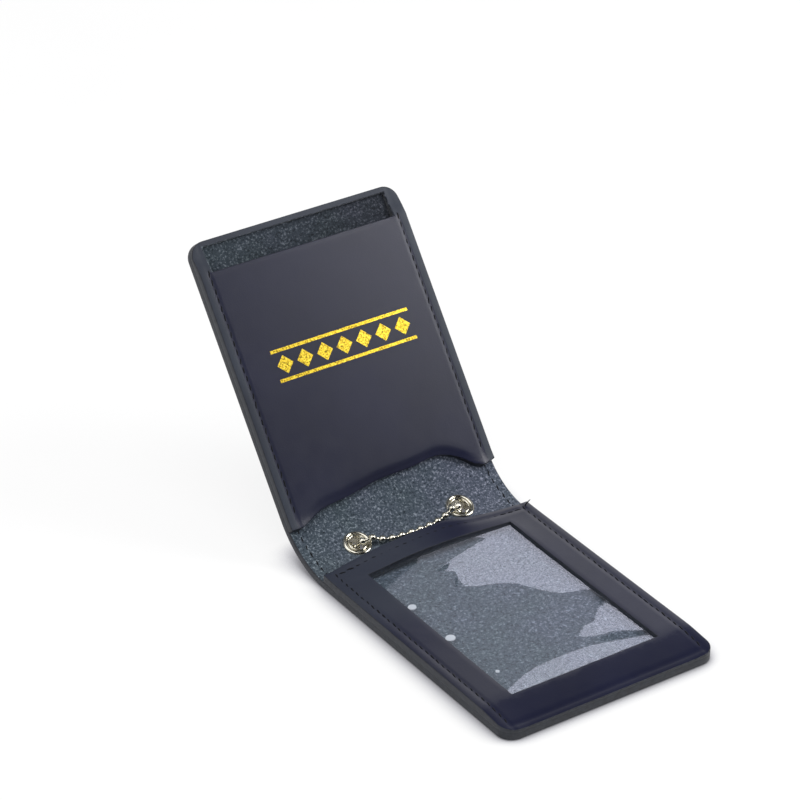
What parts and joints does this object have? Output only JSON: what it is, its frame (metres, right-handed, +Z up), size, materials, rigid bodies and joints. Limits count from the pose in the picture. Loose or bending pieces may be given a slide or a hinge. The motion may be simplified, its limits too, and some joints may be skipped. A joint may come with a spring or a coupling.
{
  "type": "id badge wallet",
  "caption": "Bifold leather badge wallet with a clear card window, a card pocket and a ball neck chain through two eyelets, standing open with its upper half leaning back.",
  "frame": {"origin": "middle of the underside of the window half, which lies flat", "axes": "+Y from the window half's free end towards the spine, +Z up, +X across the hide"},
  "size_m": [0.075, 0.1715, 0.0844],
  "materials": {
    "hide": "grained, semi-matte",
    "suede": "napped",
    "smooth_leather": "fine grain, satin",
    "clear_film": "clear, glossy",
    "thread": "twisted polyester",
    "nickel": "nickel plated, bright",
    "tie": "matt"
  },
  "bodies": {
    "lower": {"cover_lower": "hide", "crease_lower": "suede", "window_frame": "smooth_leather", "window_film": "clear_film", "thread_lower": "thread", "thread_mouth": "thread", "chain_lead_left": "nickel", "chain_lead_right": "nickel", "chain_coil": "nickel", "chain_connector": "nickel", "coil_tie": "tie"},
    "band": {"cover_band": "suede", "crease_upper": "suede", "eyelet_left": "nickel", "eyelet_right": "nickel", "washer_left": "nickel", "washer_right": "nickel", "thread_band": "thread", "chain_front": "nickel"},
    "upper": {"cover_upper": "hide", "pocket_panel": "smooth_leather", "thread_upper": "thread"}
  },
  "joints": [
    {"name": "fold_at_window", "type": "hinge", "parent": "lower", "child": "band", "pos_m": [0, 0.04987, 0.00142], "axis": [1, 0, 0], "range_deg": [0, 60], "deforming": ["crease_lower", "chain_lead_left", "chain_lead_right"]},
    {"name": "fold_at_pocket", "type": "hinge", "parent": "band", "child": "upper", "pos_m": [0, 0.06357, 0.00648], "axis": [1, 0, 0], "range_deg": [-45, 72], "deforming": ["crease_upper"]}
  ]
}
